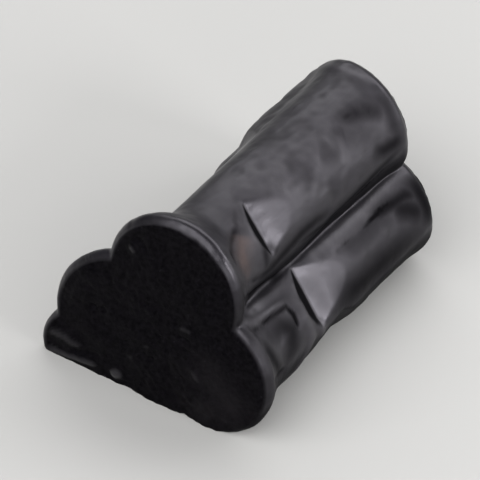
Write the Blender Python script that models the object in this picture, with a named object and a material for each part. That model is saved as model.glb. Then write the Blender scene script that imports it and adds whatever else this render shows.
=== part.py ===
"""A bite of black licorice, cut short from a rope of three strands that are fused side by side.

The strands run along Y, with one on top and two underneath. The end at -Y is the one with the
wide, slanting cut face. Sizes are in metres and angles in degrees.
"""

import math

import bmesh
import bpy
import numpy as np

# The rope
LENGTH = 0.0234              # along the axis, from one cut face to the other
TWIST = -6.0                 # turn of the strands from the near end to the far one
REST_HEIGHT = 0.0062         # of the axis above the table
GROOVE_FILLET = 0.00016      # how far the strands have run together in the groove

# The strands: turn and offset of the middle about the axis, and radius in the body and at both rims.
# The brow is a bulge on the far flank of the top strand.
STRANDS = {
    "top": {"turn": 90.0, "offset": 0.00375, "body": 0.00425, "near_rim": 0.00556, "far_rim": 0.00470},
    "right": {"turn": -29.0, "offset": 0.00392, "body": 0.00403, "near_rim": 0.00503, "far_rim": 0.00420},
    "left": {"turn": 203.0, "offset": 0.00375, "body": 0.00398, "near_rim": 0.00645, "far_rim": 0.00435},
    "brow": {"turn": 125.0, "offset": 0.00400, "body": 0.00305, "near_rim": 0.00305, "far_rim": 0.00305},
}
UNEVENNESS = 0.012           # share by which a strand swells and thins along its length
SWELL_LENGTH = 0.0095        # from one swelling to the next

# The flares at both cut ends
FLARE_REACH = 0.0023         # how far in from a cut the strands are still spread
FLARE_POWER = 2.4

# Licorice that the near cut squeezed down into the groove and out at the foot of the left strand
SQUEEZED = {
    "heel": {"turn": 270.0, "offset": 0.00370, "radius": 0.00330},
    "toe": {"turn": 211.8, "offset": 0.00880, "radius": 0.00340},
}

# The rims and the cut faces
RIM_RADIUS = 0.00095
RIM_CREASE = 22.0            # where the rim's arc starts, measured from the cut face
NEAR_SLANT = (0.05, 0.17)    # how far the cut leans back for each metre to the right and up
FAR_SLANT = (-0.17, 0.02)
FACE_DOME = 0.00035          # how far the middle of a cut face stands out

# The marks that were pressed into the strands. Each has the turn of the direction that it came from,
# the distance from the axis to its bottom and from the near face to it, and the slopes of its sides.
# The far side starts steeper and eases over a step of height to its last slope.
MARKS = [
    {"strand": "top", "turn": 43.3, "depth_at": 0.00608, "place": 0.00632,
     "near": 0.60, "far": 0.28, "step": 0.00028, "eased": 0.14},
    {"strand": "right", "turn": 41.3, "depth_at": 0.00447, "place": 0.00868,
     "near": 0.62, "far": 0.26, "step": 0.00030, "eased": 0.15},
    {"strand": "right", "turn": -31.0, "depth_at": 0.00730, "place": 0.01130,
     "near": 0.17, "far": 0.00, "step": 0.00100, "eased": 0.30},
]
GLANCE = 0.1                 # least cosine at which a ray still meets a mark or the flat

# The flat that something left on the far flank
FLAT_TURN = 149.0            # direction that it faces
FLAT_DEPTH_AT = 0.0060       # from the axis to the flat
FLAT_START = 0.0018          # it is full from here to its end, and rises out of the skin beyond
FLAT_END = 0.0143
FLAT_START_SLOPE = 2.2
FLAT_END_SLOPE = 0.9

# The mesh
AROUND = 96                  # points in a section
STATIONS = 44                # sections between the rims
RIM_STEPS = 3
FACE_RINGS = (0.82, 0.45)    # rings in a cut face, as shares of its outline
STATION_CROWDING = 0.40      # how much closer the sections stand at both ends

SHARP_ANGLE = 40.0           # edges that bend more than this are shaded as creases

BLACK = (0.012, 0.010, 0.013, 1.0)
SATIN = 0.45
NAME = "licorice_twist"


def clear_scene():
    for thing in list(bpy.data.objects):
        bpy.data.objects.remove(thing, do_unlink=True)


def roll_at(along):
    """Turn of the strands at a distance from the near face, even about the middle of the piece."""
    return math.radians(TWIST * (along / LENGTH - 0.5))


def flare(from_cut):
    """Share of a flare that is left at a distance from its cut."""
    return math.exp(-((from_cut / FLARE_REACH) ** FLARE_POWER))


def strand_radius(strand, along):
    """Body radius, swelling in slow waves, plus a flare that dies away from each cut."""
    wave = math.sin(2 * math.pi * along / SWELL_LENGTH + math.radians(strand["turn"]))
    near_gain = strand["near_rim"] - strand["body"]
    far_gain = strand["far_rim"] - strand["body"]
    body = strand["body"] * (1 + UNEVENNESS * wave)
    return body + near_gain * flare(along) + far_gain * flare(LENGTH - along)


def strand_reach(off, offset, radius):
    """Distance from the rope's axis to a strand's skin, along a ray at an angle off its middle."""
    under_root = max(radius, 0.0) ** 2 - (offset * np.sin(off)) ** 2
    reach = offset * np.cos(off) + np.sqrt(np.clip(under_root, 0, None))
    return np.where(under_root > 0, reach, 0.0)


def plane_reach(angle, turn, distance):
    """Distance along a ray to a plane that faces along the turn, or infinity where none is met."""
    facing = np.cos(angle - math.radians(turn))
    return np.where(facing > GLANCE, distance / np.maximum(facing, GLANCE), np.inf)


def mark_reach(angle, mark, along):
    """Distance along a ray to a pressed mark, a valley that runs straight across its strand."""
    past = along - mark["place"]
    steep_start = mark["step"] * (1 - math.exp(-mark["far"] * past / mark["step"]))
    rise = max(-mark["near"] * past, steep_start + mark["eased"] * past)
    return plane_reach(angle, mark["turn"], mark["depth_at"] + rise)


def flat_reach(angle, along):
    """Distance along a ray to the flat, which rises out of the skin beyond its two ends."""
    rise = max(0.0, FLAT_START_SLOPE * (FLAT_START - along), FLAT_END_SLOPE * (along - FLAT_END))
    return plane_reach(angle, FLAT_TURN, FLAT_DEPTH_AT + rise)


def section(along, inset=0.0):
    """Outline of the rope at a distance from the near face, as x and z about its axis.

    The outermost of the strands and of the squeezed licorice counts on each ray. A soft maximum
    rounds the grooves, and the table flattens what would reach below it.
    """
    roll = roll_at(along)
    angle = np.linspace(0, 2 * math.pi, AROUND, endpoint=False) + roll
    reaches = []
    for name, strand in STRANDS.items():
        off = angle - roll - math.radians(strand["turn"])
        reach = strand_reach(off, strand["offset"], strand_radius(strand, along) - inset)
        for mark in MARKS:
            if mark["strand"] == name:
                reach = np.minimum(reach, mark_reach(angle, mark, along) - inset)
        reaches.append(reach)
    share = flare(along)
    for bulge in SQUEEZED.values():
        off = angle - roll - math.radians(bulge["turn"])
        reaches.append(strand_reach(off, bulge["offset"] * share, bulge["radius"] * share - inset))
    outermost = np.max(reaches, axis=0)
    reach = outermost + GROOVE_FILLET * np.log(np.exp((reaches - outermost) / GROOVE_FILLET).sum(axis=0))
    reach = np.minimum(reach, flat_reach(angle, along) - inset)
    x = reach * np.cos(angle)
    z = np.maximum(reach * np.sin(angle), -REST_HEIGHT)
    return x, z


def place(x, z, along):
    """Points of a section in space: the two slanting cuts drag the sections between them along."""
    near = NEAR_SLANT[0] * x + NEAR_SLANT[1] * z
    far = LENGTH + FAR_SLANT[0] * x + FAR_SLANT[1] * z
    y = near + (far - near) * along / LENGTH
    return np.column_stack([x, y, z])


def rim_rings(at_far_end):
    """Sections round a rim, from the cut face to the side, on an arc that ends along the side."""
    rings = []
    crease = math.radians(RIM_CREASE)
    for step in range(RIM_STEPS):
        turn = crease + (math.pi / 2 - crease) * step / RIM_STEPS
        inset = RIM_RADIUS * (1 - math.sin(turn))
        depth = RIM_RADIUS * (math.cos(crease) - math.cos(turn))
        along = LENGTH - depth if at_far_end else depth
        rings.append(place(*section(along, inset), along))
    return rings[::-1] if at_far_end else rings


def side_rings():
    """Sections of the side between the rims, crowded towards both ends."""
    share = np.linspace(0, 1, STATIONS)
    share = share - STATION_CROWDING * np.sin(2 * math.pi * share) / (2 * math.pi)
    rim = RIM_RADIUS * math.cos(math.radians(RIM_CREASE))
    alongs = rim + (LENGTH - 2 * rim) * share
    return [place(*section(along), along) for along in alongs]


def face_rings(edge, outward):
    """Rings inside a cut face, from its middle outwards, domed like a shallow cushion."""
    middle = edge.mean(axis=0)
    rings = []
    for share in sorted((0.0,) + FACE_RINGS):
        ring = middle + (edge - middle) * share
        ring[:, 1] += outward * FACE_DOME * (1 - share**2)
        rings.append(ring)
    return rings


def loft(rings):
    """Closed mesh through rings of equal length, whose first and last have shrunk to a point."""
    mesh = bmesh.new()
    poles = [mesh.verts.new(rings[0][0]), mesh.verts.new(rings[-1][0])]
    loops = [[mesh.verts.new(point) for point in ring] for ring in rings[1:-1]]
    for index in range(AROUND):
        following = (index + 1) % AROUND
        mesh.faces.new((poles[0], loops[0][index], loops[0][following]))
        for inner, outer in zip(loops, loops[1:]):
            mesh.faces.new((inner[index], outer[index], outer[following], inner[following]))
        mesh.faces.new((poles[1], loops[-1][following], loops[-1][index]))
    bmesh.ops.triangulate(mesh, faces=mesh.faces)
    bmesh.ops.recalc_face_normals(mesh, faces=mesh.faces)
    return mesh


def licorice_material():
    material = bpy.data.materials.new("black_licorice")
    material.use_nodes = True
    shader = material.node_tree.nodes["Principled BSDF"]
    shader.inputs["Base Color"].default_value = BLACK
    shader.inputs["Roughness"].default_value = SATIN
    shader.inputs["Metallic"].default_value = 0.0
    return material


def centre_on_table(rings):
    """Move the rings so that the middle of their box stands over the origin, with its base at 0."""
    points = np.concatenate(rings)
    low, high = points.min(axis=0), points.max(axis=0)
    shift = np.array([-(low[0] + high[0]) / 2, -(low[1] + high[1]) / 2, -low[2]])
    return [ring + shift for ring in rings]


def build_piece(collection):
    skin = rim_rings(False) + side_rings() + rim_rings(True)
    near_face = face_rings(skin[0], -1)
    far_face = face_rings(skin[-1], 1)[::-1]
    rings = centre_on_table(near_face + skin + far_face)
    shape = loft(rings)
    data = bpy.data.meshes.new(NAME)
    shape.to_mesh(data)
    shape.free()
    data.shade_smooth()
    data.set_sharp_from_angle(angle=math.radians(SHARP_ANGLE))
    data.materials.append(licorice_material())
    collection.objects.link(bpy.data.objects.new(NAME, data))


clear_scene()
licorice = bpy.data.collections.new(NAME)
bpy.context.scene.collection.children.link(licorice)
build_piece(licorice)
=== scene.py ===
"""A bite of black licorice, cut from a rope of three strands fused side by side, on a pale table."""

import math

import bpy
import numpy as np
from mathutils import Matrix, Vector


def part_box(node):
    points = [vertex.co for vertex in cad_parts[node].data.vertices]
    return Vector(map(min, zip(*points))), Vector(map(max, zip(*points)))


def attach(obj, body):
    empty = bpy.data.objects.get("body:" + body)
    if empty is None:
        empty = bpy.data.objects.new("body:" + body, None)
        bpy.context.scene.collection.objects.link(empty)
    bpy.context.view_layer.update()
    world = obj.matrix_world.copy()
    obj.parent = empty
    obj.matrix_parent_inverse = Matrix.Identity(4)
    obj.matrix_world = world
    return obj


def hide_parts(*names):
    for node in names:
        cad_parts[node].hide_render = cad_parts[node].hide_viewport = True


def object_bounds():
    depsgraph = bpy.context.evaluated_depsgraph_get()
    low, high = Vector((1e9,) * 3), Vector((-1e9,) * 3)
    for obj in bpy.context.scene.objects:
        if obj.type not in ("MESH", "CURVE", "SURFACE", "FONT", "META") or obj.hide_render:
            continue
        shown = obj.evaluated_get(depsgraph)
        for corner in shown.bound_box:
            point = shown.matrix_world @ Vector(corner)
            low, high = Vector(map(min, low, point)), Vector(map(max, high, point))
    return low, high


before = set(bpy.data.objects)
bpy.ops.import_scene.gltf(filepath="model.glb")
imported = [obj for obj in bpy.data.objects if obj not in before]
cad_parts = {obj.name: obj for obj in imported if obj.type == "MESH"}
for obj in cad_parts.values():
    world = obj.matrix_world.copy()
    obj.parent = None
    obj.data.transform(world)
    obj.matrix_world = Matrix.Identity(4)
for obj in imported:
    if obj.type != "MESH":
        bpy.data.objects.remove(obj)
cad_low, cad_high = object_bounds()


# The bite: three strands of soft licorice that left the die side by side, fused in their grooves
# and were chopped to length. The blade spread both ends and squeezed licorice out below. Edges
# later pressed into the top and the right strand, and something flat against the far flank.
BITE = "licorice_twist"
LENGTH = 0.0234                # along the axis, from one cut face to the other
TWIST = -6.0                   # degrees that the strands turn from the near end to the far one
REST_HEIGHT = 0.0062           # of the axis above the table
GROOVE_FILLET = 0.00010        # how far the strands have run together in the groove

# Turn and offset of a strand's middle about the axis, and its radius in the body and at both rims.
# The brow is a bulge on the far flank of the top strand.
STRANDS = {
    "top": {"turn": 90.0, "offset": 0.00375, "body": 0.00425, "near_rim": 0.00556, "far_rim": 0.00470},
    "right": {"turn": -29.0, "offset": 0.00392, "body": 0.00403, "near_rim": 0.00503, "far_rim": 0.00420},
    "left": {"turn": 203.0, "offset": 0.00375, "body": 0.00398, "near_rim": 0.00645, "far_rim": 0.00435},
    "brow": {"turn": 125.0, "offset": 0.00400, "body": 0.00305, "near_rim": 0.00305, "far_rim": 0.00305},
}
UNEVENNESS = 0.012             # share by which a strand swells and thins along its length
SWELL_LENGTH = 0.0095          # from one such swelling to the next
FLARE_REACH = 0.0023           # how far in from a cut the strands are still spread
FLARE_POWER = 2.4
SQUEEZED = {
    "heel": {"turn": 270.0, "offset": 0.00370, "radius": 0.00330},
    "toe": {"turn": 211.8, "offset": 0.00880, "radius": 0.00340},
}
RIM_RADIUS = 0.00095
RIM_CREASE = 22.0              # degrees at which the rim's arc starts, from the cut face
NEAR_SLANT = (0.05, 0.17)      # how far the cut leans back for each metre to the right and up
FAR_SLANT = (-0.17, 0.02)
FACE_DOME = 0.00035            # how far the middle of a cut face stands out

# Turn that a mark was pressed from, the distance to its bottom from the axis and from the near face,
# and the slopes of its sides. The far side starts steeper, and eases over a step of height.
MARKS = [
    {"strand": "top", "turn": 43.3, "depth_at": 0.00608, "place": 0.00632,
     "near": 0.60, "far": 0.28, "step": 0.00028, "eased": 0.14},
    {"strand": "right", "turn": 41.3, "depth_at": 0.00447, "place": 0.00868,
     "near": 0.62, "far": 0.26, "step": 0.00030, "eased": 0.15},
    {"strand": "right", "turn": -31.0, "depth_at": 0.00730, "place": 0.01130,
     "near": 0.17, "far": 0.00, "step": 0.00100, "eased": 0.30},
]
PRESS_SOFTNESS = 0.00004       # radius of a mark's edges and of the fold at its bottom
STEEP = 0.5                    # slope above which a mark's near wall gets painted shade, not polish
GLANCE = 0.1                   # least cosine at which a ray still meets a mark or the flat
NEVER = 0.1                    # a distance past the whole bite, where a ray meets nothing
FLAT_TURN = 149.0              # degrees, the direction that the flat faces
FLAT_DEPTH_AT = 0.0060         # from the axis to the flat
FLAT_START = 0.0018            # it is full from here to its end, and slopes out of the skin beyond
FLAT_END = 0.0143
FLAT_START_SLOPE = 2.2
FLAT_END_SLOPE = 0.9
FLAT_SOFTNESS = 0.00016        # radius of the flat's edges

AROUND = 320                   # points in a section
SIDE_ROWS = 200
SIDE_CROWDING = 0.30           # how much closer the rows of the side stand at both ends
FACE_ROWS = 44
RIM_ROWS = 7
ROLLED_ROWS = 2.2              # rows of the rim that the blade smeared like the cut face
ROLLED_TURN = -10.0            # degrees at which it smeared the most
RIM_FADE = 0.0001              # over which the rim's finish passes into the side's
SHARPEST_STEP = 40             # widths either side that a soft step is worked out for
LEAST_NORMAL = 1e-12           # stands in for the length of a normal where all points meet


def soft_max(values, radius):
    """Largest of several fields, with the corner between them rounded by about a radius."""
    largest = np.max(values, axis=0)
    return largest + radius * np.log(np.exp((np.array(values) - largest) / radius).sum(axis=0))


def soft_step(field, width):
    """Share that rises from 0 to 1 as a field passes 0, over about a width."""
    return 1 / (1 + np.exp(-np.clip(field / width, -SHARPEST_STEP, SHARPEST_STEP)))


def flare(from_cut):
    """Share of a flare that is left at a distance from its cut: a bell that is flat on top."""
    return np.exp(-((from_cut / FLARE_REACH) ** FLARE_POWER))


def strand_radius(strand, along):
    """Body radius, swelling in a slow sine wave, plus a flare that dies away from each cut."""
    wave = np.sin(2 * np.pi * along / SWELL_LENGTH + math.radians(strand["turn"]))
    near_gain = strand["near_rim"] - strand["body"]
    far_gain = strand["far_rim"] - strand["body"]
    body = strand["body"] * (1 + UNEVENNESS * wave)
    return body + near_gain * flare(along) + far_gain * flare(LENGTH - along)


def strand_reach(off, offset, radius):
    """Distance along a ray from the axis to a circle whose middle lies off the ray by an angle."""
    under_root = np.maximum(radius, 0) ** 2 - (offset * np.sin(off)) ** 2
    reach = offset * np.cos(off) + np.sqrt(np.clip(under_root, 0, None))
    return np.where(under_root > 0, reach, 0.0)


def plane_reach(turn, distance):
    """Distance along each ray to a plane that faces along a turn and lies at a distance."""
    facing = np.cos(angle - math.radians(turn))
    return np.where(facing > GLANCE, distance / np.maximum(facing, GLANCE), NEVER)


def mark_reach(mark):
    """Distance along each ray to a valley across a strand, whose far side starts steep and eases."""
    past = along - mark["place"]
    steep_start = mark["step"] * (1 - np.exp(-mark["far"] * past / mark["step"]))
    rise = soft_max([-mark["near"] * past, steep_start + mark["eased"] * past], PRESS_SOFTNESS)
    return plane_reach(mark["turn"], mark["depth_at"] + rise)


def flat_reach():
    """Distance along each ray to the flat, which slopes out of the skin beyond its two ends."""
    before, after = FLAT_START_SLOPE * (FLAT_START - along), FLAT_END_SLOPE * (along - FLAT_END)
    rise = soft_max([before, np.zeros_like(along), after], FLAT_SOFTNESS)
    return plane_reach(FLAT_TURN, FLAT_DEPTH_AT + rise)


def face_and_rim_rows():
    """Rows from the middle of a cut face to the end of its rim.

    Over the face, the share of its outline grows from 0 to 1. Over the rim, an arc from the crease
    to a right angle takes the inset down to 0 while the depth grows. The last field counts the
    rim's rows, and is -1 on the face.
    """
    crease = math.radians(RIM_CREASE)
    turn = np.linspace(crease, math.pi / 2, RIM_ROWS, endpoint=False)
    rim_inset = RIM_RADIUS * (1 - np.sin(turn))
    share = np.concatenate([np.linspace(0, 1, FACE_ROWS, endpoint=False), np.ones(RIM_ROWS)])
    inset = np.concatenate([np.full(FACE_ROWS, rim_inset[0]), rim_inset])
    depth = np.concatenate([np.zeros(FACE_ROWS), RIM_RADIUS * (math.cos(crease) - np.cos(turn))])
    rim_row = np.concatenate([np.full(FACE_ROWS, -1), np.arange(RIM_ROWS)])
    return share, inset, depth, rim_row


end_share, end_inset, end_depth, end_rim_row = face_and_rim_rows()
rim_depth = RIM_RADIUS * math.cos(math.radians(RIM_CREASE))
side_share = np.linspace(0, 1, SIDE_ROWS)
side_share = side_share - SIDE_CROWDING * np.sin(2 * np.pi * side_share) / (2 * np.pi)
side_along = rim_depth + (LENGTH - 2 * rim_depth) * side_share
along = np.concatenate([end_depth, side_along, LENGTH - end_depth[::-1]])[:, None]
share = np.concatenate([end_share, np.ones(SIDE_ROWS), end_share[::-1]])[:, None]
inset = np.concatenate([end_inset, np.zeros(SIDE_ROWS), end_inset[::-1]])[:, None]
rim_row = np.concatenate([end_rim_row, np.full(SIDE_ROWS, RIM_ROWS), end_rim_row[::-1]])[:, None]
outward = np.where(along < LENGTH / 2, -1.0, 1.0)
roll = np.radians(TWIST * (along / LENGTH - 0.5))
ray = np.linspace(0, 2 * math.pi, AROUND, endpoint=False)[None, :]
angle = ray + roll
rolled = ROLLED_ROWS * (0.5 + 0.5 * np.cos(ray - math.radians(ROLLED_TURN)))
cut_face = np.clip(0.5 + rolled - rim_row, 0, 1)
on_rim_arc = (1 - cut_face) * soft_step(RIM_RADIUS - np.minimum(along, LENGTH - along), RIM_FADE)


def bite_form():
    """The bite's own form: each ray ends at the outermost circle, a mark or the flat.

    A cut face is its outline shrunk to a point and domed as 1 less the square of the share. The
    two slanting cuts drag the sections between them along, and the table flattens what reaches
    below it. Returns the points, how far the marks and the flat were pressed into them, and how
    far past the bottom of a mark they lie, which is below 0 on a steep near wall that gets painted
    shade.
    """
    reaches, pressed, past = [], np.zeros_like(angle), np.full_like(angle, NEVER)
    for name, strand in STRANDS.items():
        off = ray - math.radians(strand["turn"])
        reach = strand_reach(off, strand["offset"], strand_radius(strand, along) - inset)
        for mark in MARKS:
            if mark["strand"] != name:
                continue
            bottom = mark_reach(mark) - inset
            beyond = along - mark["place"]
            beyond = beyond if mark["near"] > STEEP else np.abs(beyond)
            past = np.where(reach - bottom > pressed, beyond, past)
            pressed = np.maximum(pressed, reach - bottom)
            reach = -soft_max([-reach, -bottom], PRESS_SOFTNESS)
        reaches.append(reach)
    left = flare(along)
    for bulge in SQUEEZED.values():
        off = ray - math.radians(bulge["turn"])
        reaches.append(strand_reach(off, bulge["offset"] * left, bulge["radius"] * left - inset))
    reach = soft_max(reaches, GROOVE_FILLET)
    flat = flat_reach() - inset
    pressed = np.maximum(pressed, reach - flat)
    reach = -soft_max([-reach, -flat], FLAT_SOFTNESS)
    x = reach * np.cos(angle)
    z = np.maximum(reach * np.sin(angle), -REST_HEIGHT)
    x_middle, z_middle = x.mean(axis=1, keepdims=True), z.mean(axis=1, keepdims=True)
    x = x_middle + (x - x_middle) * share
    z = z_middle + (z - z_middle) * share
    near = NEAR_SLANT[0] * x + NEAR_SLANT[1] * z
    far = LENGTH + FAR_SLANT[0] * x + FAR_SLANT[1] * z
    y = near + (far - near) * along / LENGTH + outward * FACE_DOME * (1 - share**2)
    return np.stack([x, y, z], axis=-1), pressed * (1 - cut_face), past


def outward_normals(points):
    """Unit normals of a grid of points, from the cross product of its two differences."""
    around = np.roll(points, -1, axis=1) - np.roll(points, 1, axis=1)
    lengthwise = np.gradient(points, axis=0)
    normals = np.cross(lengthwise, around)
    size = np.linalg.norm(normals, axis=-1, keepdims=True)
    return normals / np.maximum(size, LEAST_NORMAL)


form, pressed, past = bite_form()
normals = outward_normals(form)
from_axis = np.hypot(form[..., 0], form[..., 2])
untwisted = np.stack([from_axis * np.cos(ray), form[..., 1], from_axis * np.sin(ray)], axis=-1)


# The skin: drawn smooth by the die, so it has soft swells, fine lines along the strands, dimples,
# and short ripples where the strands drag on each other in the grooves.
SWELL_HEIGHT, SWELL_SIZE = 0.000018, 0.0034
DRAW_LINE_HEIGHT, DRAW_LINE_WIDTH = 0.000003, 0.00065
DRAW_LINE_STRETCH = 0.035      # width of a draw line, as a share of its length
DIMPLE_HEIGHT, DIMPLE_SIZE = 0.000008, 0.0009
RIPPLE_HEIGHT = 0.000020
RIPPLE_LENGTH = 0.00062        # from one ripple to the next
RIPPLE_SLANT = 0.013           # how far a ripple leans along the strand, for a radian off the groove
RIPPLE_WANDER = 2              # radians of its wave by which a ripple strays
RIPPLE_WANDER_SIZE = 0.0030    # of the stretches over which it does
RIPPLE_PATCH_SIZE = 0.0035     # of the patches where the ripples show
GROOVES = (28.0, 165.0, 267.0)
GROOVE_WIDTH = 8.0             # degrees either side over which the ripples die away
WAVE_SPREAD = (0.7, 1.6)       # shortest and longest wave in a lump, as shares of its size


def unevenness(points, size, seed, waves=26):
    """Smooth lumps about 0: a sum of plane waves in drawn directions, each about a size long."""
    draw = np.random.default_rng(seed)
    direction = draw.normal(size=(waves, 3))
    direction /= np.linalg.norm(direction, axis=1, keepdims=True)
    wavelength = size * draw.uniform(*WAVE_SPREAD, waves)
    phase = draw.uniform(0, 2 * math.pi, waves)
    waves_in = points @ (direction * 2 * math.pi / wavelength[:, None]).T + phase
    return np.cos(waves_in).sum(axis=-1) * math.sqrt(2 / waves)


def skin_relief():
    """Height of the skin's own unevenness: the swells, draw lines and dimples are lumps of waves.

    The ripples are sine waves that lean off the groove, times patches. Their share is the square
    of the distance from the groove times a bell, so it is 0 in the groove and 1 a width away.
    """
    drawn = untwisted * np.array([1, DRAW_LINE_STRETCH, 1])
    relief = SWELL_HEIGHT * unevenness(form, SWELL_SIZE, seed=3)
    relief += DRAW_LINE_HEIGHT * unevenness(drawn, DRAW_LINE_WIDTH, seed=5)
    relief += DIMPLE_HEIGHT * unevenness(form, DIMPLE_SIZE, seed=6, waves=40)
    patchy = 0.5 + 0.5 * unevenness(form, RIPPLE_PATCH_SIZE, seed=7).clip(-1, 1)
    wander = RIPPLE_WANDER * unevenness(form, RIPPLE_WANDER_SIZE, seed=11)
    for groove in GROOVES:
        away = (np.degrees(ray) - groove + 180) % 360 - 180
        phase = along + RIPPLE_SLANT * np.radians(np.abs(away))
        wave = np.sin(2 * math.pi * phase / RIPPLE_LENGTH + wander)
        widths = away / GROOVE_WIDTH
        relief += RIPPLE_HEIGHT * patchy * wave * (widths**2 * np.exp(1 - widths**2))
    return relief


# Creases, ridges and scuffs in the skin. Each runs through places given as degrees round the axis
# and distance along it, and has a width and a height, which is below 0 for a crease.
STROKES = [
    # the right strand, from the near rim to its marks
    ([(29.0, 0.0012), (26.5, 0.0036), (24.3, 0.0053), (22.4, 0.0071)], 0.00030, 0.00007),
    ([(24.5, 0.0022), (21.5, 0.0045), (19.6, 0.0062)], 0.00018, -0.00007),
    ([(28.1, 0.0008), (23.5, 0.0022), (20.0, 0.0035), (18.2, 0.0049), (16.6, 0.0060)], 0.00032, 0.00011),
    ([(16.0, 0.0064), (9.0, 0.0070), (1.2, 0.0070), (-6.0, 0.0073)], 0.00032, 0.00008),
    ([(21.6, 0.0012), (16.5, 0.0040), (14.8, 0.0057)], 0.00024, -0.00016),
    ([(15.5, 0.0058), (8.0, 0.0061), (-1.0, 0.0060)], 0.00024, -0.00015),
    ([(8.0, 0.0050), (2.0, 0.0033)], 0.00028, -0.00005),
    ([(-3.6, 0.0007), (-13.4, 0.0040)], 0.00036, -0.00010),
    ([(-2.5, 0.0072), (-12.5, 0.0073), (-21.6, 0.0064), (-28.0, 0.0055), (-28.0, 0.0036)], 0.00036, 0.00015),
    ([(-8.0, 0.0084), (-12.3, 0.0087), (-17.0, 0.0084)], 0.00030, 0.00012),
    ([(29.0, 0.0006), (18.0, 0.0006), (6.0, 0.0006), (-8.0, 0.0007), (-22.0, 0.0009)], 0.00024, 0.00007),
    # the right strand beyond its upper mark
    ([(25.5, 0.0096), (24.1, 0.0118), (22.6, 0.0138), (21.1, 0.0165), (21.3, 0.0190), (22.6, 0.0212),
      (24.0, 0.0232)], 0.00038, 0.00013),
    ([(16.0, 0.0122), (14.6, 0.0140), (13.8, 0.0162), (14.0, 0.0184), (14.0, 0.0200)], 0.00026, -0.00008),
    ([(13.8, 0.0160), (13.9, 0.0184), (13.9, 0.0199), (14.4, 0.0218)], 0.00032, -0.00008),
    ([(-2.0, 0.0112), (-13.7, 0.0142), (-14.7, 0.0160), (-12.8, 0.0190)], 0.00060, -0.00006),
    # the groove between the right and the top strand
    ([(41.0, 0.0010), (36.0, 0.0038), (33.6, 0.0054), (31.0, 0.0070), (30.6, 0.0095)], 0.00026, -0.00014),
    ([(29.0, 0.0088), (33.0, 0.0113), (34.0, 0.0150), (35.0, 0.0190), (36.0, 0.0226)], 0.00028, -0.00012),
    # the top strand
    ([(49.9, 0.0012), (44.1, 0.0041), (40.6, 0.0057)], 0.00022, -0.00008),
    ([(77.4, 0.0045), (73.3, 0.0037), (67.0, 0.0020), (60.0, 0.0016)], 0.00030, -0.00008),
    ([(62.0, 0.0040), (54.0, 0.0040), (47.0, 0.0042)], 0.00050, 0.00002),
    ([(78.6, 0.0180), (76.8, 0.0190), (75.4, 0.0196)], 0.00040, -0.00006),
    ([(76.0, 0.0200), (73.4, 0.0204), (70.3, 0.0205)], 0.00034, -0.00007),
    ([(74.6, 0.0158), (73.7, 0.0167), (72.2, 0.0174)], 0.00050, -0.00005),
    ([(69.0, 0.0172), (66.0, 0.0182), (65.3, 0.0188), (62.0, 0.0184)], 0.00050, 0.00003),
    # scattered ones, also on the sides that are turned away
    ([(3.0, 0.0150), (-3.0, 0.0158), (-5.0, 0.0170)], 0.00050, -0.00005),
    ([(8.0, 0.0172), (2.0, 0.0180)], 0.00040, 0.00004),
    ([(101.0, 0.0082), (94.0, 0.0090)], 0.00050, -0.00004),
    ([(138.0, 0.0223), (120.0, 0.0221), (100.0, 0.0219), (88.0, 0.0220), (78.0, 0.0221)], 0.00045, 0.00008),
    ([(182.0, 0.0090), (186.0, 0.0125), (184.0, 0.0150)], 0.00030, -0.00009),
    ([(215.0, 0.0060), (225.0, 0.0068), (236.0, 0.0066)], 0.00036, -0.00009),
    ([(305.0, 0.0120), (312.0, 0.0132)], 0.00044, -0.00008),
    ([(128.0, 0.0178), (134.0, 0.0190), (141.0, 0.0192)], 0.00036, -0.00007),
]
DRIED = [(70.0, 0.0044), (66.0, 0.0040), (60.0, 0.0028), (50.0, 0.0036)]
DRIED_WIDTH = 0.00075          # of a dry brownish rub on the top strand
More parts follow.
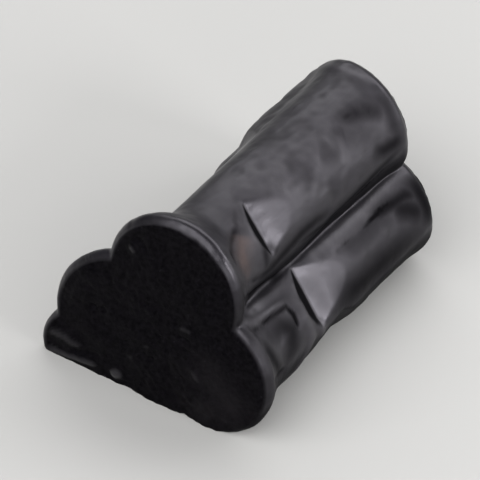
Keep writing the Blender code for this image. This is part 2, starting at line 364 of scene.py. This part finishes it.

# Stretches of painted shade, mostly by the grooves and the marks, where the skin is darkened and
# dulled, placed like the strokes. The last number is the share of the painted shade, and of the
# shine that is gone. The underside is painted with shade too.
PAINTED_SHADE_STRETCHES = [
    ([(44.0, 0.0082), (40.0, 0.0108), (37.0, 0.0130), (37.0, 0.0150), (38.5, 0.0175), (40.5, 0.0205),
      (43.0, 0.0236)], 0.00040, 0.90),
    ([(36.0, 0.0030), (42.0, 0.0056), (45.0, 0.0080), (47.0, 0.0098), (46.0, 0.0118), (42.0, 0.0140)],
     0.00052, 0.85),
    ([(54.0, 0.0190), (49.0, 0.0204), (48.0, 0.0214), (50.0, 0.0226)], 0.00070, 0.85),
    ([(43.0, 0.0002), (36.0, 0.0020), (34.0, 0.0042), (32.0, 0.0070), (32.0, 0.0096)], 0.00036, 0.90),
    ([(13.0, 0.0014), (9.0, 0.0044), (3.0, 0.0052), (-5.0, 0.0048), (-14.0, 0.0030)], 0.00110, 0.85),
    ([(20.0, 0.0012), (15.7, 0.0044), (14.2, 0.0058), (7.0, 0.0060), (-2.0, 0.0060)], 0.00030, 0.90),
    ([(24.0, 0.0040), (17.0, 0.0062), (8.0, 0.0068), (2.0, 0.0072)], 0.00110, 0.45),
    ([(22.0, 0.0080), (10.0, 0.0081), (-9.0, 0.0081)], 0.00030, 0.80),
    ([(17.0, 0.0092), (9.0, 0.0093), (0.0, 0.0095), (-11.0, 0.0096)], 0.00100, 0.38),
    ([(82.0, 0.0056), (66.0, 0.0058), (53.0, 0.0056), (40.0, 0.0055)], 0.00034, 0.75),
    ([(84.0, 0.0056), (78.0, 0.0047), (72.0, 0.0041), (67.0, 0.0037), (62.0, 0.0034)], 0.00032, 0.50),
    ([(76.0, 0.0046), (70.0, 0.0038), (60.0, 0.0030), (50.0, 0.0036)], 0.00110, 0.45),
    ([(58.0, 0.0002), (42.0, 0.0004), (33.0, 0.0008), (26.0, 0.0010)], 0.00060, 0.75),
    ([(14.0, 0.0128), (11.0, 0.0148), (8.0, 0.0180), (8.0, 0.0200)], 0.00110, 0.55),
    ([(-6.0, 0.0100), (-8.0, 0.0130), (-10.0, 0.0165), (-12.0, 0.0236)], 0.00170, 0.90),
    ([(14.5, 0.0168), (13.0, 0.0192), (11.0, 0.0212), (6.0, 0.0236)], 0.00075, 0.90),
    ([(10.0, 0.0192), (4.0, 0.0208), (-4.0, 0.0222)], 0.00120, 0.90),
    ([(20.0, 0.0224), (10.0, 0.0225), (0.0, 0.0225), (-14.0, 0.0225)], 0.00110, 0.95),
    ([(36.0, 0.0002), (24.0, 0.0002), (8.0, 0.0003), (-8.0, 0.0003), (-26.0, 0.0003)], 0.00045, 0.68),
    ([(-4.0, 0.0008), (-13.0, 0.0018), (-20.0, 0.0036), (-24.0, 0.0064)], 0.00160, 0.85),
    ([(80.0, 0.0176), (76.8, 0.0188), (73.4, 0.0200), (68.0, 0.0210), (62.0, 0.0214)], 0.00085, 0.65),
    ([(73.0, 0.0144), (69.2, 0.0152), (64.0, 0.0162)], 0.00100, 0.40),
    ([(78.0, 0.0172), (68.0, 0.0178), (62.0, 0.0196), (54.0, 0.0200)], 0.00110, 0.35),
    ([(75.0, 0.0221), (66.0, 0.0221), (56.0, 0.0219), (46.0, 0.0219)], 0.00070, 0.60),
    ([(50.0, 0.0004), (43.5, 0.0012), (39.0, 0.0032), (36.0, 0.0050)], 0.00032, 0.90),
    ([(58.0, 0.0062), (53.0, 0.0066), (48.0, 0.0070)], 0.00045, 0.60),
    ([(17.0, 0.0012), (8.0, 0.0016), (0.0, 0.0020), (-8.0, 0.0025), (-18.0, 0.0031)], 0.00080, 0.90),
    ([(112.0, 0.0036), (84.0, 0.0040), (60.0, 0.0046)], 0.00150, 0.20),
]
UNDERSIDE_SHADE = 0.9           # share of the painted shade, and of the shine that is gone, on the underside
UNDERSIDE_FROM = -0.05         # upward part of the normals below which the skin is painted with shade
UNDERSIDE_FADE = 0.06          # of that part, over which the painted shade fades and the shine returns


def skin_place(degrees, distance):
    """Point of the form at an angle round the axis and a distance along it."""
    row = FACE_ROWS + RIM_ROWS + np.argmin(np.abs(side_along - distance))
    column = np.argmin(np.abs(np.sin((angle[row] - math.radians(degrees)) / 2)))
    return form[row, column]


def beside(path, width):
    """Share round a path on the skin: a bell across it, times 1 less a fourth power along it."""
    corners = [skin_place(*corner) for corner in path]
    nearest, progress = np.full(angle.shape, np.inf), np.zeros_like(angle)
    for step, (start, end) in enumerate(zip(corners, corners[1:])):
        span = end - start
        part = np.clip((form - start) @ span / (span @ span), 0, 1)
        off = np.linalg.norm(form - start - part[..., None] * span, axis=-1)
        progress = np.where(off < nearest, (step + part) / (len(corners) - 1), progress)
        nearest = np.minimum(nearest, off)
    return np.exp(-((nearest / width) ** 2)) * (1 - (2 * progress - 1) ** 4)


strokes = sum(height * beside(path, width) for path, width, height in STROKES)
# painted shade: the listed stretches, and the underside where the normals point down, are darkened and
# dulled
shade_share = np.max([shade_amount * beside(path, width) for path, width, shade_amount in PAINTED_SHADE_STRETCHES], axis=0)
underside_shade = soft_step(UNDERSIDE_FROM - normals[..., 2], UNDERSIDE_FADE)
shade_share = np.maximum(shade_share, UNDERSIDE_SHADE * underside_shade)


# The cut faces: torn a little by the blade, so they are grainy, smeared the way it travelled and
# pitted where air sat. Each has a thin lip, and the near one some smears and crumbs of its own.
FACE_SWELL_HEIGHT, FACE_SWELL_SIZE = 0.00004, 0.0030
GRAIN_HEIGHT, GRAIN_SIZE = 0.000012, 0.00065
SMEAR_HEIGHT, SMEAR_WIDTH = 0.000016, 0.0007
SMEAR_STRETCH = 0.16           # width of a line in the smear, as a share of its length
SMEAR_TURN = 78.0              # degrees from the horizontal
LIP_HEIGHT = 0.00005
LIP_WIDTH = 0.04               # as a share of the outline
LIP_EVEN, LIP_UNEVEN = 0.6, 0.4  # shares of its height that are the same all round and that vary
LIP_WAVE_SIZE = 0.0025
PIT_COUNT = 22                 # on each cut face
PIT_SEED = 31
PIT_FIELD = 0.0075             # radius of the round field that holds the pits
PIT_FIELD_SHARE = 0.85         # of its area, as they stay off the edge
PIT_RADIUS = (0.00010, 0.00022)
PIT_DEPTH = 0.5                # of its radius

# Smears, scores and crumbs on the near face. Each runs through places given as x and z across the
# cut, and has a width and a height. The high ones were pressed smooth, so they shine.
NEAR_FACE_STROKES = [
    ([(-0.00622, -0.00052), (-0.00612, -0.00055)], 0.00026, -0.00024),
    ([(-0.00545, -0.00030), (-0.00525, -0.00034)], 0.00026, -0.00016),
    ([(-0.00368, 0.00580), (-0.00350, 0.00570)], 0.00030, 0.00011),
    ([(-0.00330, 0.00668), (-0.00290, 0.00668), (-0.00250, 0.00625)], 0.00024, -0.00014),
    ([(0.00125, 0.00132), (0.00175, 0.00128)], 0.00030, 0.00009),
    ([(0.00105, 0.00050), (0.00190, 0.00042)], 0.00022, -0.00012),
    ([(0.00020, -0.00030), (0.00028, -0.00110), (0.00040, -0.00250)], 0.00024, -0.00010),
    ([(-0.00149, -0.00156), (-0.00135, -0.00150)], 0.00034, 0.00007),
    ([(-0.00265, -0.00311), (-0.00255, -0.00300)], 0.00034, 0.00007),
    ([(0.00262, -0.00190), (0.00285, -0.00240)], 0.00036, 0.00008),
    ([(-0.00930, -0.00425), (-0.00837, -0.00418), (-0.00720, -0.00440)], 0.00040, 0.00011),
    ([(-0.00740, -0.00500), (-0.00549, -0.00440)], 0.00022, -0.00012),
    ([(-0.00945, -0.00590), (-0.00769, -0.00570), (-0.00581, -0.00540)], 0.00030, 0.00014),
    ([(-0.00395, -0.00540), (-0.00370, -0.00525)], 0.00040, 0.00022),
    ([(-0.00190, 0.00190), (-0.00080, 0.00215)], 0.00028, -0.00009),
    ([(-0.00700, 0.00115), (-0.00680, 0.00105)], 0.00030, -0.00010),
]
SHINE_FROM = 0.00005           # height at which a smear starts to shine
SHINE_RISE = 0.00012           # height more at which it shines in full
SMEARED_SMOOTH = 0.8           # share of the smear's lines that is gone where it shines
PALER_STRETCH = [(0.0035, -0.0016), (0.0054, -0.0026), (0.0060, -0.0042), (0.0036, -0.0050)]
PALER_STRETCH_WIDTH = 0.0016          # of a paler stretch toward the lower right of the near face


def off_face_stroke(path):
    """Distance across the cut, from every point of the form to a path given as x and z."""
    flat, corners = form[..., [0, 2]], np.array(path)
    nearest = np.full(angle.shape, np.inf)
    for start, end in zip(corners, corners[1:]):
        span = end - start
        part = np.clip((flat - start) @ span / (span @ span), 0, 1)
        nearest = np.minimum(nearest, np.linalg.norm(flat - start - part[..., None] * span, axis=-1))
    return nearest


def beside_face_stroke(path, width):
    """Bell-shaped share round a path on a cut face."""
    return np.exp(-((off_face_stroke(path) / width) ** 2))


face_strokes = sum(height * beside_face_stroke(path, width) for path, width, height in NEAR_FACE_STROKES)
face_strokes = face_strokes * (outward < 0) * cut_face
smeared = np.clip((face_strokes - SHINE_FROM) / SHINE_RISE, 0, 1)
paler_stretch = beside_face_stroke(PALER_STRETCH, PALER_STRETCH_WIDTH) * (outward < 0)


def face_relief():
    """Height of a cut face: lumps for its swells and grain, and longer ones along the smear.

    The lip is a bell about the outline, partly uneven. A pit is a bell as well, at a place drawn
    evenly over the field: the root of a drawn share of its area gives the share of its radius.
    """
    turn = math.radians(SMEAR_TURN)
    with_smear = form[..., 0] * math.cos(turn) + form[..., 2] * math.sin(turn)
    across_smear = -form[..., 0] * math.sin(turn) + form[..., 2] * math.cos(turn)
    stretched = np.stack([across_smear, form[..., 1], with_smear * SMEAR_STRETCH], axis=-1)
    relief = FACE_SWELL_HEIGHT * unevenness(form, FACE_SWELL_SIZE, seed=21)
    relief += GRAIN_HEIGHT * unevenness(form, GRAIN_SIZE, seed=23, waves=40)
    lines = unevenness(stretched, SMEAR_WIDTH, seed=27, waves=34)
    relief += SMEAR_HEIGHT * lines * (1 - SMEARED_SMOOTH * smeared)
    lip = LIP_HEIGHT * np.exp(-(((1 - share) / LIP_WIDTH) ** 2))
    relief += lip * (LIP_EVEN + LIP_UNEVEN * unevenness(form, LIP_WAVE_SIZE, seed=29))
    draw = np.random.default_rng(PIT_SEED)
    for end in (-1.0, 1.0):
        for _ in range(PIT_COUNT):
            off_middle = PIT_FIELD * math.sqrt(draw.uniform(0, PIT_FIELD_SHARE))
            pit_turn = draw.uniform(0, 2 * math.pi)
            radius = draw.uniform(*PIT_RADIUS)
            pit_x, pit_z = off_middle * math.cos(pit_turn), off_middle * math.sin(pit_turn)
            away = np.hypot(form[..., 0] - pit_x, form[..., 2] - pit_z)
            relief -= PIT_DEPTH * radius * np.exp(-((away / radius) ** 2)) * (outward == end)
    return relief + face_strokes


# The mesh: the form moved out by its relief, set into the frame where the bite's solid stands. The
# marks pressed the skin smoother and polished it, but their steep near walls get painted shade and
# no polish.
MARKED_FROM = 0.00006          # depth of the press at which the skin counts as marked
MARKED_FADE = 0.00002
MARKED_SMOOTH = 0.5            # share of the skin's unevenness that is gone in a mark
SHADED_WALL_FADE = 0.00005         # over which a near wall's painted shade ends at the bottom of its mark
POLISH_LOSS = 0.35             # share of the polish that is gone at a distance past the bottom
POLISH_LOSS_REACH = 0.0026
DEEPEST_SHADE = 0.00012        # depth of a crease that has its full painted shade, or height of a ridge that is fully paler

in_mark = soft_step(pressed - MARKED_FROM, MARKED_FADE)
# painted shade on the steep near walls of the marks, which get no polish
shaded_wall = in_mark * soft_step(-past, SHADED_WALL_FADE)
polish = (in_mark - shaded_wall) * (1 - POLISH_LOSS * np.clip(past / POLISH_LOSS_REACH, 0, 1)) * (1 - shade_share)
side_relief = skin_relief() * (1 - MARKED_SMOOTH * in_mark) + strokes
relief = side_relief * (1 - cut_face) + face_relief() * cut_face
points = form + normals * relief[..., None]
low, high = form.reshape(-1, 3).min(axis=0), form.reshape(-1, 3).max(axis=0)
box_low, box_high = (np.array(corner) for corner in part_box(BITE))
points += (box_low + box_high) / 2 - (low + high) / 2
points[..., 2] = np.maximum(points[..., 2], box_low[2])


def grid_values(grid):
    """Values of a grid whose first and last rows are single points, in the order of the mesh."""
    inner = grid[1:-1].reshape((-1,) + grid.shape[2:])
    return np.concatenate([grid[0, :1], inner, grid[-1, :1]])


def bite_mesh(name, grid):
    """Closed mesh over the grid: quads between the rows, with a fan at either end."""
    rows, columns = grid.shape[0] - 2, grid.shape[1]
    index = 1 + np.arange(rows * columns).reshape(rows, columns)
    following = np.roll(index, -1, axis=1)
    quads = np.stack([index[:-1], index[1:], following[1:], following[:-1]], axis=-1).reshape(-1, 4)
    near_fan = np.stack([np.zeros(columns, int), index[0], following[0]], axis=-1)
    far_fan = np.stack([np.full(columns, rows * columns + 1), following[-1], index[-1]], axis=-1)
    faces = near_fan.tolist() + quads.tolist() + far_fan.tolist()
    mesh = bpy.data.meshes.new(name)
    mesh.from_pydata(grid_values(grid).tolist(), [], faces)
    mesh.shade_smooth()
    return mesh


mesh = bite_mesh("licorice_bite", points)
for name, field in (
    ("cut_face", np.broadcast_to(cut_face, angle.shape)),
    ("rim", np.broadcast_to(on_rim_arc, angle.shape)),
    ("pressed", np.maximum(polish, smeared)),
    # painted shade in the skin's creases, on the near walls of the marks, in the stretches and on the
    # underside
    ("painted_shade", np.max([np.clip(-relief / DEEPEST_SHADE, 0, 1), shaded_wall, shade_share], axis=0)),
    # paler colour on the ridges of the strokes
    ("ridge_paler", np.clip(strokes / DEEPEST_SHADE, 0, 1)),
    ("dried", beside(DRIED, DRIED_WIDTH)),
    ("paler_stretch", paler_stretch),
):
    attribute = mesh.attributes.new(name, "FLOAT", "POINT")
    attribute.data.foreach_set("value", grid_values(field).astype(np.float32))
attribute = mesh.attributes.new("untwisted", "FLOAT_VECTOR", "POINT")
attribute.data.foreach_set("vector", grid_values(untwisted).astype(np.float32).ravel())
bite = bpy.data.objects.new("licorice_bite", mesh)
bpy.context.scene.collection.objects.link(bite)


# The licorice: nearly black with a cool tint. The skin is waxy satin, mottled where it was handled
# and finely streaked along the strands. The cut faces are duller, grainy and speckled, and paler in
# one stretch. The pressed marks and smears are polished. Painted shade darkens and dulls the skin
# in its creases, on the steep walls of the marks, in stretches by the grooves and on the underside.
DEEP = (0.0022, 0.0019, 0.0027, 1)
WORN = (0.0060, 0.0054, 0.0070, 1)
# colour of the painted shade
PAINTED_SHADE_DARK = (0.0009, 0.0008, 0.0011, 1)
RIDGE_PALE = (0.020, 0.019, 0.021, 1)
DRIED_BROWN = (0.038, 0.026, 0.023, 1)
CUT_DARK = (0.0003, 0.0002, 0.0005, 1)
CUT_PALE = (0.0014, 0.0011, 0.0018, 1)
CUT_PALER = (0.0052, 0.0046, 0.0054, 1)
FLECK = (0.024, 0.022, 0.026, 1)
COOL_SHINE = (1.0, 0.955, 1.06, 1)
RIDGE_PALE_SHARE = 0.8             # most that a colour covers, or its least and most over the mottles
DRIED_SHARE = (0.25, 0.9)
PALER_SHARE = (0.3, 1.0)
FLECK_SHARE = 0.20
NOISE_RANGE = (0.30, 0.70)     # values between which nearly all of a noise lies
WORN_RANGE = (0.40, 0.65)      # values between which a finish sets in
DRIED_RANGE = (0.35, 0.60)
PALER_RANGE = (0.30, 0.65)
CUT_PALE_RANGE = (0.38, 0.66)
FLECK_RANGE = (0.72, 0.78)
STREAK_RANGE = (0.35, 0.65)

SKIN_ROUGHNESS = (0.40, 0.50)  # from the fresh mottles to the handled ones
STREAK_ROUGHNESS = (-0.01, 0.01)  # added to it
RIM_ROUGHNESS = 0.32
PAINTED_SHADE_ROUGHNESS = 0.72
CUT_ROUGHNESS = (0.46, 0.62)
PRESSED_ROUGHNESS = 0.33
SKIN_SPECULAR = (0.46, 0.36)
PAINTED_SHADE_SPECULAR = 0.08         # share of the skin's that is left there
CUT_SPECULAR = (0.015, 0.055)
PRESSED_SPECULAR = 0.56

STREAK_STRETCH = (1.0, 0.05, 1.0)
BUMP_HEIGHT = 0.00003          # of the skin's streaks
GRAIN_BUMP = 0.5               # heights of the skin's grain and the cut's, next to the streaks'
FACE_GRAIN_BUMP = 2.0
BUMP_STRENGTH = 0.35

licorice = bpy.data.materials.new("black_licorice")
licorice.use_nodes = True
nodes, links = licorice.node_tree.nodes, licorice.node_tree.links
shader = nodes["Principled BSDF"]


def read(name, output="Fac"):
    """Output of a node that reads one of the bite's attributes."""
    node = nodes.new("ShaderNodeAttribute")
    node.attribute_name = name
    return node.outputs[output]


def scaled(vector, scale):
    """A vector stretched along its three axes."""
    node = nodes.new("ShaderNodeVectorMath")
    node.operation = "MULTIPLY"
    links.new(vector, node.inputs[0])
    node.inputs[1].default_value = scale
    return node.outputs["Vector"]


def noise(vector, size, detail=3.0, roughness=0.55):
    """Cloudy noise whose largest lumps are about a size in metres."""
    node = nodes.new("ShaderNodeTexNoise")
    links.new(vector, node.inputs["Vector"])
    node.inputs["Scale"].default_value = 1 / size
    node.inputs["Detail"].default_value = detail
    node.inputs["Roughness"].default_value = roughness
    return node.outputs["Fac"]


def spread(value, low, high, start, end):
    """A value between low and high, moved to between start and end, and held there outside."""
    node = nodes.new("ShaderNodeMapRange")
    links.new(value, node.inputs["Value"])
    for name, number in (("From Min", low), ("From Max", high), ("To Min", start), ("To Max", end)):
        node.inputs[name].default_value = number
    return node.outputs["Result"]


def combine(operation, first, second):
    """Two values, or a value and a number, put together by an operation."""
    node = nodes.new("ShaderNodeMath")
    node.operation = operation
    for socket, value in zip(node.inputs, (first, second)):
        if isinstance(value, float):
            socket.default_value = value
        else:
            links.new(value, socket)
    return node.outputs["Value"]


def blend(share, first, second):
    """A share of the way from one value to another, each a colour, a number or a socket.

    The node takes two colours at its sockets 6 and 7 and gives one at 2, or two numbers at 2 and
    3 and gives one at 0.
    """
    node = nodes.new("ShaderNodeMix")
    tuples = isinstance(first, tuple) or isinstance(second, tuple)
    colours = tuples or getattr(first, "type", "") == "RGBA"
    node.data_type, socket_in, socket_out = ("RGBA", 6, 2) if colours else ("FLOAT", 2, 0)
    links.new(share, node.inputs[0])
    for socket, value in ((node.inputs[socket_in], first), (node.inputs[socket_in + 1], second)):
        if isinstance(value, (tuple, float)):
            socket.default_value = value
        else:
            links.new(value, socket)
    return node.outputs[socket_out]


place = nodes.new("ShaderNodeTexCoord").outputs["Object"]
on_cut, on_press, in_painted_shade = read("cut_face"), read("pressed"), read("painted_shade")
on_ridge, on_dried, on_rim = read("ridge_paler"), read("dried"), read("rim")
streaks = noise(scaled(read("untwisted", "Vector"), STREAK_STRETCH), size=0.00045)
mottle = noise(place, size=0.0016, detail=4.0)
grain = noise(place, size=0.00016, detail=2.0)
face_grain = noise(place, size=0.00034, detail=4.0, roughness=0.65)
speckle = noise(place, size=0.00022, detail=1.0)

skin_colour = blend(spread(mottle, *WORN_RANGE, 0.0, 1.0), DEEP, WORN)
# painted shade darkens the skin's colour
skin_colour = blend(in_painted_shade, skin_colour, PAINTED_SHADE_DARK)
skin_colour = blend(combine("MULTIPLY", on_ridge, RIDGE_PALE_SHARE), skin_colour, RIDGE_PALE)
dried_share = combine("MULTIPLY", on_dried, spread(mottle, *DRIED_RANGE, *DRIED_SHARE))
skin_colour = blend(dried_share, skin_colour, DRIED_BROWN)
cut_colour = blend(spread(face_grain, *CUT_PALE_RANGE, 0.0, 1.0), CUT_DARK, CUT_PALE)
paler_share = combine("MULTIPLY", read("paler_stretch"), spread(mottle, *PALER_RANGE, *PALER_SHARE))
cut_colour = blend(paler_share, cut_colour, CUT_PALER)
fleck_share = combine("MULTIPLY", spread(speckle, *FLECK_RANGE, 0.0, 1.0), FLECK_SHARE)
cut_colour = blend(fleck_share, cut_colour, FLECK)
links.new(blend(on_cut, skin_colour, cut_colour), shader.inputs["Base Color"])

skin_roughness = combine("ADD", spread(mottle, *NOISE_RANGE, *SKIN_ROUGHNESS),
                         spread(streaks, *STREAK_RANGE, *STREAK_ROUGHNESS))
skin_roughness = blend(on_rim, skin_roughness, RIM_ROUGHNESS)
skin_roughness = blend(in_painted_shade, skin_roughness, PAINTED_SHADE_ROUGHNESS)
cut_roughness = spread(face_grain, *NOISE_RANGE, *CUT_ROUGHNESS)
own_roughness = blend(on_cut, skin_roughness, cut_roughness)
links.new(blend(on_press, own_roughness, PRESSED_ROUGHNESS), shader.inputs["Roughness"])
skin_specular = spread(mottle, *NOISE_RANGE, *SKIN_SPECULAR)
skin_specular = combine("MULTIPLY", skin_specular, spread(in_painted_shade, 0.0, 1.0, 1.0, PAINTED_SHADE_SPECULAR))
cut_specular = spread(face_grain, *NOISE_RANGE, *CUT_SPECULAR)
own_specular = blend(on_cut, skin_specular, cut_specular)
links.new(blend(on_press, own_specular, PRESSED_SPECULAR), shader.inputs["Specular IOR Level"])
shader.inputs["Specular Tint"].default_value = COOL_SHINE

skin_height = combine("ADD", combine("MULTIPLY", grain, GRAIN_BUMP), streaks)
cut_height = combine("MULTIPLY", face_grain, FACE_GRAIN_BUMP)
bump = nodes.new("ShaderNodeBump")
bump.inputs["Strength"].default_value = BUMP_STRENGTH
bump.inputs["Distance"].default_value = BUMP_HEIGHT
links.new(blend(on_cut, skin_height, cut_height), bump.inputs["Height"])
links.new(bump.outputs["Normal"], shader.inputs["Normal"])

# The cut faces have a material of their own with the same nodes, as both finishes meet in the
# smear on the rim. Where only one shine is kept for a material, each then keeps its own. A quad
# belongs to a cut where the mean of its two rows is above a half.
cut_licorice = licorice.copy()
cut_licorice.name = "cut_licorice"
mesh.materials.append(licorice)
mesh.materials.append(cut_licorice)
quad_is_cut = (cut_face[1:-2] + cut_face[2:-1]).ravel() > 1
fan_is_cut = np.ones(AROUND, bool)
face_is_cut = np.concatenate([fan_is_cut, quad_is_cut, fan_is_cut])
mesh.polygons.foreach_set("material_index", face_is_cut.astype(np.int32))
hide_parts(BITE)
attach(bite, "root")


# The table: a plain pale sheet, wide enough to fill the view.
FLOOR_HALF = 1.5
FLOOR_PALE = (0.310, 0.307, 0.300, 1)
FLOOR_ROUGHNESS = 0.7
floor_corners = [(x * FLOOR_HALF, y * FLOOR_HALF, 0) for x, y in ((-1, -1), (1, -1), (1, 1), (-1, 1))]
floor_mesh = bpy.data.meshes.new("table_top")
floor_mesh.from_pydata(floor_corners, [], [(0, 1, 2, 3)])
floor = bpy.data.objects.new("table_top", floor_mesh)
bpy.context.scene.collection.objects.link(floor)
floor_paint = bpy.data.materials.new("pale_table")
floor_paint.use_nodes = True
floor_shader = floor_paint.node_tree.nodes["Principled BSDF"]
floor_shader.inputs["Base Color"].default_value = FLOOR_PALE
floor_shader.inputs["Roughness"].default_value = FLOOR_ROUGHNESS
floor_mesh.materials.append(floor_paint)


# The light: soft boxes high behind the bite and high before it, lower ones at the right front and
# the right behind, and a small bright one at the right. A faint cool glow comes from all round.
MIDDLE = (cad_low + cad_high) / 2
GLOW_COOL = (0.92, 0.93, 1.0, 1)
GLOW_STRENGTH = 0.15


def stand(name, data, target, azimuth, elevation, distance):
    """Object at an angle and a distance from a target, turned to face it.

    The direction to it is (sin a cos e, -cos a cos e, sin e) for an azimuth a, which is 0 before
    the near face and 90 degrees at the right, and an elevation e.
    """
    a, e = math.radians(azimuth), math.radians(elevation)
    back = Vector((math.sin(a) * math.cos(e), -math.cos(a) * math.cos(e), math.sin(e)))
    thing = bpy.data.objects.new(name, data)
    thing.location = target + back * distance
    thing.rotation_euler = back.to_track_quat("Z", "Y").to_euler()
    bpy.context.scene.collection.objects.link(thing)
    return thing


def add_light(name, azimuth, elevation, distance, size, radiance):
    """Flat light facing the bite's middle, whose energy is its radiance times pi times its area."""
    light = bpy.data.lights.new(name, "AREA")
    light.shape = "RECTANGLE"
    light.size, light.size_y = size
    light.energy = radiance * math.pi * size[0] * size[1]
    stand(name, light, MIDDLE, azimuth, elevation, distance)


add_light("soft_box", azimuth=190, elevation=46, distance=0.7, size=(1.5, 0.46), radiance=3.5)
add_light("front_box", azimuth=350, elevation=54, distance=0.7, size=(0.9, 0.60), radiance=4.6)
add_light("rim_box", azimuth=48, elevation=20, distance=0.6, size=(0.44, 0.20), radiance=3.7)
add_light("back_box", azimuth=130, elevation=20, distance=0.6, size=(0.34, 0.40), radiance=4.5)
add_light("side_box", azimuth=91, elevation=25, distance=0.5, size=(0.19, 0.15), radiance=18.0)
world = bpy.data.worlds.new("studio")
world.use_nodes = True
world.node_tree.nodes["Background"].inputs["Color"].default_value = GLOW_COOL
world.node_tree.nodes["Background"].inputs["Strength"].default_value = GLOW_STRENGTH
bpy.context.scene.world = world
bpy.context.scene.view_settings.view_transform = "Standard"


# The camera: a long lens that looks down at the near cut from the right.
VIEW_AZIMUTH, VIEW_ELEVATION = 36.5, 44.6
LENS = 400.0                   # millimetres
NEAREST_SEEN = 0.01
DISTANCE = 0.38
AIM = MIDDLE + Vector((-0.0003, -0.0014, -0.0010))
camera_data = bpy.data.cameras.new("camera")
camera_data.lens = LENS
camera_data.clip_start = NEAREST_SEEN
camera = stand("camera", camera_data, AIM, VIEW_AZIMUTH, VIEW_ELEVATION, DISTANCE)
bpy.context.scene.camera = camera
